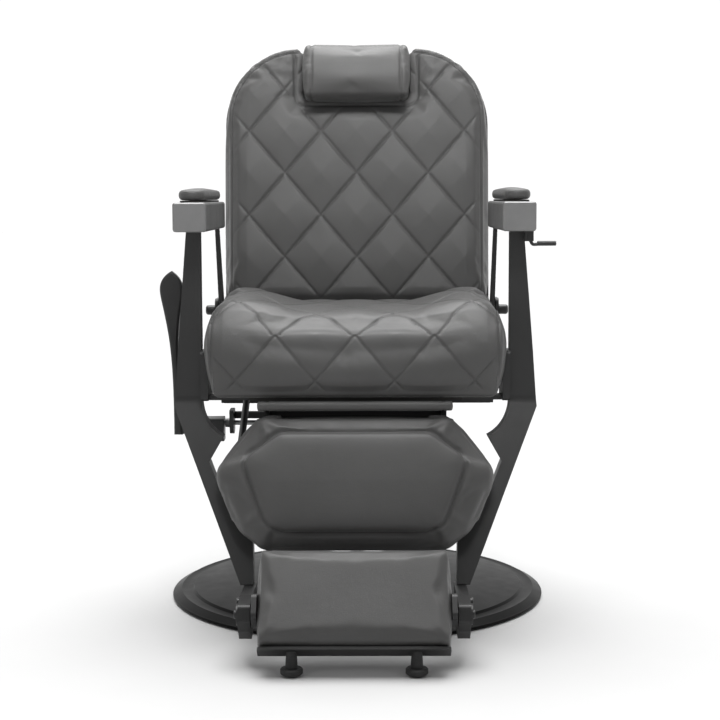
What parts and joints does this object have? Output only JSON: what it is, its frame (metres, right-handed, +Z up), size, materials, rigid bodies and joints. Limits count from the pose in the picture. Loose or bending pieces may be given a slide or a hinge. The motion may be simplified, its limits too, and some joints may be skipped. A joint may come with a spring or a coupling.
{
  "type": "barber chair",
  "caption": "Hydraulic barber chair: round base, swivelling lift column, quilted seat and reclining back, coupled calf rest, folding footrest, padded arms, sliding headrest and side pump lever.",
  "frame": {"origin": "centre of the round base on the floor", "axes": "+Z up; the chair faces -Y; +X is the sitter's left"},
  "size_m": [0.7201, 0.9046, 1.0481],
  "materials": {
    "leather": "pebbled grain, low sheen",
    "black_paint": "semi-gloss black powder coat",
    "base_paint": "gloss black",
    "arm_paint": "satin black",
    "steel": "brushed",
    "chrome": "polished",
    "rubber": "matte",
    "plywood": "black-stained birch ply",
    "bolt_steel": "blackened steel"
  },
  "bodies": {
    "base": {"base_disc": "base_paint", "base_floor_pad": "rubber", "pump_cylinder": "chrome", "base_bolts": "bolt_steel"},
    "swivel": {"swivel_bush": "chrome"},
    "seat": {"pump_piston": "chrome", "pump_head": "black_paint", "top_plate": "black_paint", "seat_rails": "black_paint", "cross_tube_front": "black_paint", "cross_tube_rear": "black_paint", "side_brackets": "black_paint", "seat_board": "plywood", "seat_cushion": "leather", "arm_post_left": "black_paint", "arm_post_right": "black_paint", "arm_box_left": "arm_paint", "arm_box_right": "arm_paint", "arm_pad_boards": "plywood", "arm_pad_left": "leather", "arm_pad_right": "leather", "rear_brace_left": "black_paint", "rear_brace_right": "black_paint", "recline_bolts": "bolt_steel", "bracket_bolts": "bolt_steel", "calf_brackets": "black_paint", "calf_pins": "bolt_steel", "gas_spring_cylinder": "black_paint", "gas_spring_bracket": "black_paint", "lever_bracket": "black_paint", "lever_spring": "steel", "release_bracket": "black_paint", "foot_bracket_left": "black_paint", "foot_bracket_right": "black_paint", "footrest_pins": "bolt_steel"},
    "backrest": {"backrest_cushion": "leather", "backrest_shell": "leather", "back_cross_tube": "black_paint", "hinge_arm_left": "black_paint", "hinge_arm_right": "black_paint", "link_lug": "steel", "gas_lug": "steel", "headrest_guide": "black_paint"},
    "headrest": {"headrest_pad": "leather", "headrest_bar": "chrome"},
    "calf_rest": {"calf_pad": "leather", "calf_board": "plywood", "calf_arm_left": "black_paint", "calf_arm_right": "black_paint", "calf_crank": "black_paint", "calf_roll": "leather"},
    "calf_link": {"link_rod": "black_paint"},
    "gas_rod": {"gas_spring_rod": "chrome"},
    "pump_lever": {"pump_lever": "black_paint", "lever_hub": "black_paint", "lever_shaft": "steel"},
    "recline_release": {"release_lever": "black_paint"},
    "footrest": {"foot_pad": "leather", "foot_tray": "black_paint", "foot_bumpers": "rubber"}
  },
  "joints": [
    {"name": "seat_swivel", "type": "hinge", "parent": "base", "child": "swivel", "pos_m": [0, 0, 0.2], "axis": [0, 0, 1], "continuous": true},
    {"name": "seat_lift", "type": "slide", "parent": "swivel", "child": "seat", "axis": [0, 0, 1], "range_m": [0, 0.15]},
    {"name": "back_recline", "type": "hinge", "parent": "seat", "child": "backrest", "pos_m": [0, 0.1, 0.533], "axis": [-1, 0, 0], "range_deg": [0, 50]},
    {"name": "calf_swing", "type": "hinge", "parent": "seat", "child": "calf_rest", "pos_m": [0, -0.285, 0.36], "axis": [-1, 0, 0], "range_deg": [0, 50]},
    {"name": "calf_link_pivot", "type": "hinge", "parent": "backrest", "child": "calf_link", "pos_m": [-0.209, 0.185, 0.448], "axis": [1, 0, 0], "range_deg": [0, 50]},
    {"name": "gas_rod_slide", "type": "slide", "parent": "seat", "child": "gas_rod", "axis": [0, -0.766, -0.6428], "range_m": [0, 0.0808]},
    {"name": "headrest_height", "type": "slide", "parent": "backrest", "child": "headrest", "axis": [0, 0.1374, 0.9905], "range_m": [0, 0.09]},
    {"name": "pump_lever_swing", "type": "hinge", "parent": "seat", "child": "pump_lever", "pos_m": [-0.2, 0, 0.326], "axis": [1, 0, 0], "range_deg": [-30, 30], "stiffness_Nm_per_rad": 6},
    {"name": "release_lift", "type": "hinge", "parent": "seat", "child": "recline_release", "pos_m": [0.3, -0.238, 0.682], "axis": [0, -1, 0], "range_deg": [0, 14], "stiffness_Nm_per_rad": 0.6, "springref_deg": -5.73},
    {"name": "footrest_fold", "type": "hinge", "parent": "seat", "child": "footrest", "pos_m": [0, -0.48, 0.084], "axis": [-1, 0, 0], "range_deg": [0, 45]}
  ],
  "couplings": [
    {"joint": "calf_swing", "follows": "back_recline", "ratio": 1},
    {"joint": "calf_link_pivot", "follows": "back_recline", "ratio": 1},
    {"joint": "gas_rod_slide", "follows": "back_recline", "m_per_rad": 0.092014}
  ]
}
